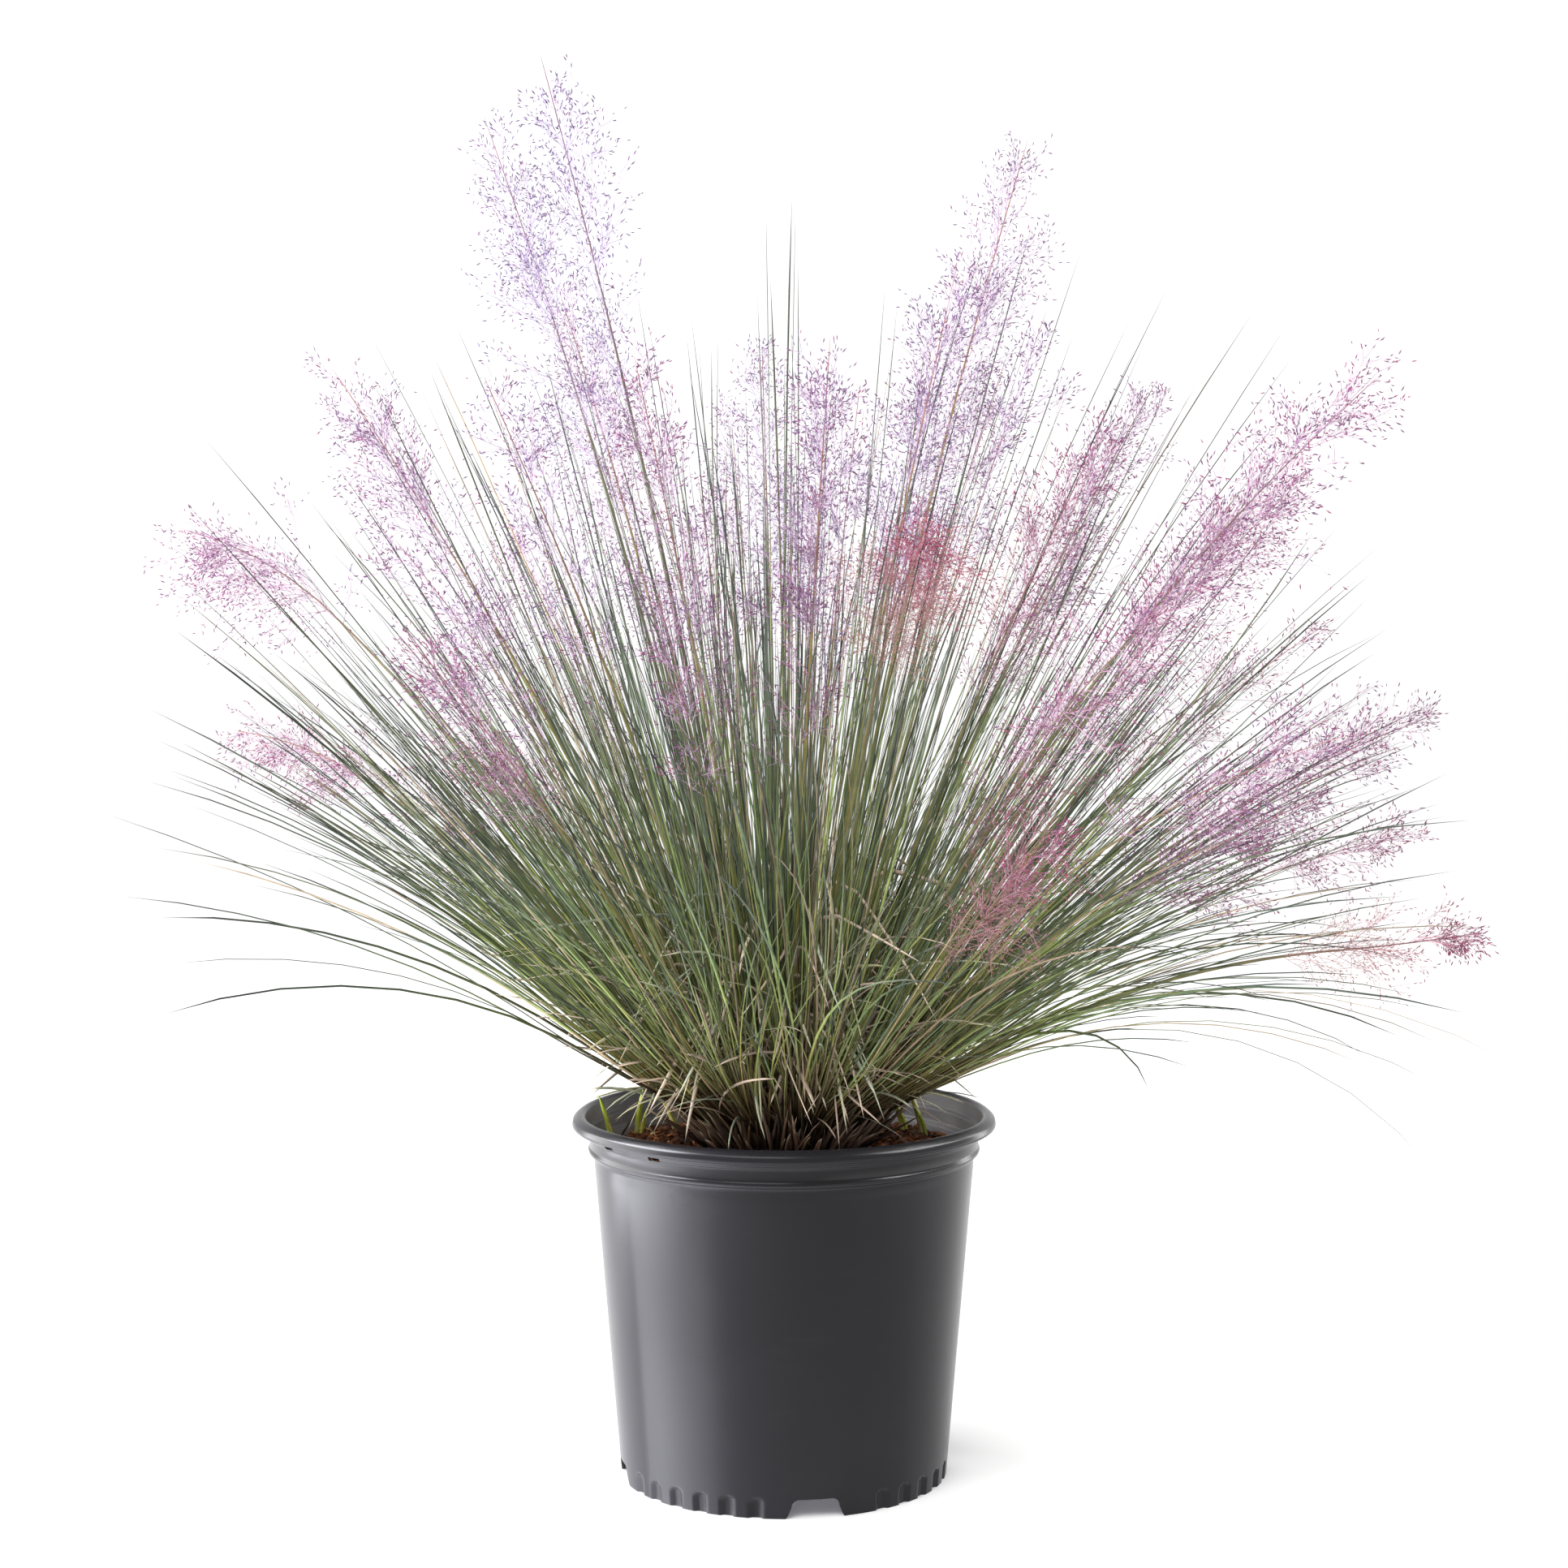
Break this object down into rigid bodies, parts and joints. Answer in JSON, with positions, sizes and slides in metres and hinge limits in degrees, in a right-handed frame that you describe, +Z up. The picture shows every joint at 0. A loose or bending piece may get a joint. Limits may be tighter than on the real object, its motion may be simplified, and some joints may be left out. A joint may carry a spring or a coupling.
{
  "type": "potted muhly grass",
  "caption": "Clump of fine arching grass leaves with airy pink flower plumes, growing in a round ribbed-foot nursery pot.",
  "frame": {"origin": "on the pot's axis at the level of its foot, on the surface that the pot stands on", "axes": "+Z up along the pot's axis, -Y towards the viewer of the picture, +X to the viewer's right"},
  "size_m": [0.9014, 0.856, 0.9061],
  "materials": {
    "nursery_pot": "satin",
    "potting_mix": "matte",
    "crown": "matte",
    "leaves": "matte",
    "flower_stalks": "matte",
    "sprouts": "matte"
  },
  "bodies": {
    "root": {"nursery_pot": "nursery_pot", "potting_mix": "potting_mix", "crown": "crown", "leaf_tuft_01": "leaves", "leaf_tuft_02": "leaves", "leaf_tuft_03": "leaves", "leaf_tuft_04": "leaves", "leaf_tuft_05": "leaves", "leaf_tuft_06": "leaves", "leaf_tuft_07": "leaves", "leaf_tuft_08": "leaves", "leaf_tuft_09": "leaves", "leaf_tuft_10": "leaves", "leaf_tuft_11": "leaves", "leaf_tuft_12": "leaves", "leaf_tuft_13": "leaves", "leaf_tuft_14": "leaves", "leaf_tuft_15": "leaves", "leaf_tuft_16": "leaves", "leaf_tuft_17": "leaves", "leaf_tuft_18": "leaves", "leaf_tuft_19": "leaves", "leaf_tuft_20": "leaves", "leaf_tuft_21": "leaves", "leaf_tuft_22": "leaves", "leaf_tuft_23": "leaves", "leaf_tuft_24": "leaves", "flower_stalk_01": "flower_stalks", "flower_stalk_02": "flower_stalks", "flower_stalk_03": "flower_stalks", "flower_stalk_04": "flower_stalks", "flower_stalk_05": "flower_stalks", "flower_stalk_06": "flower_stalks", "flower_stalk_07": "flower_stalks", "flower_stalk_08": "flower_stalks", "flower_stalk_09": "flower_stalks", "flower_stalk_10": "flower_stalks", "flower_stalk_11": "flower_stalks", "flower_stalk_12": "flower_stalks", "flower_stalk_13": "flower_stalks", "flower_stalk_14": "flower_stalks", "flower_stalk_15": "flower_stalks", "flower_stalk_16": "flower_stalks", "flower_stalk_17": "flower_stalks", "flower_stalk_18": "flower_stalks", "flower_stalk_19": "flower_stalks", "flower_stalk_20": "flower_stalks", "flower_stalk_21": "flower_stalks", "flower_stalk_22": "flower_stalks", "flower_stalk_23": "flower_stalks", "flower_stalk_24": "flower_stalks", "sprout_01": "sprouts", "sprout_02": "sprouts", "sprout_03": "sprouts", "sprout_04": "sprouts", "sprout_05": "sprouts"}
  },
  "joints": []
}
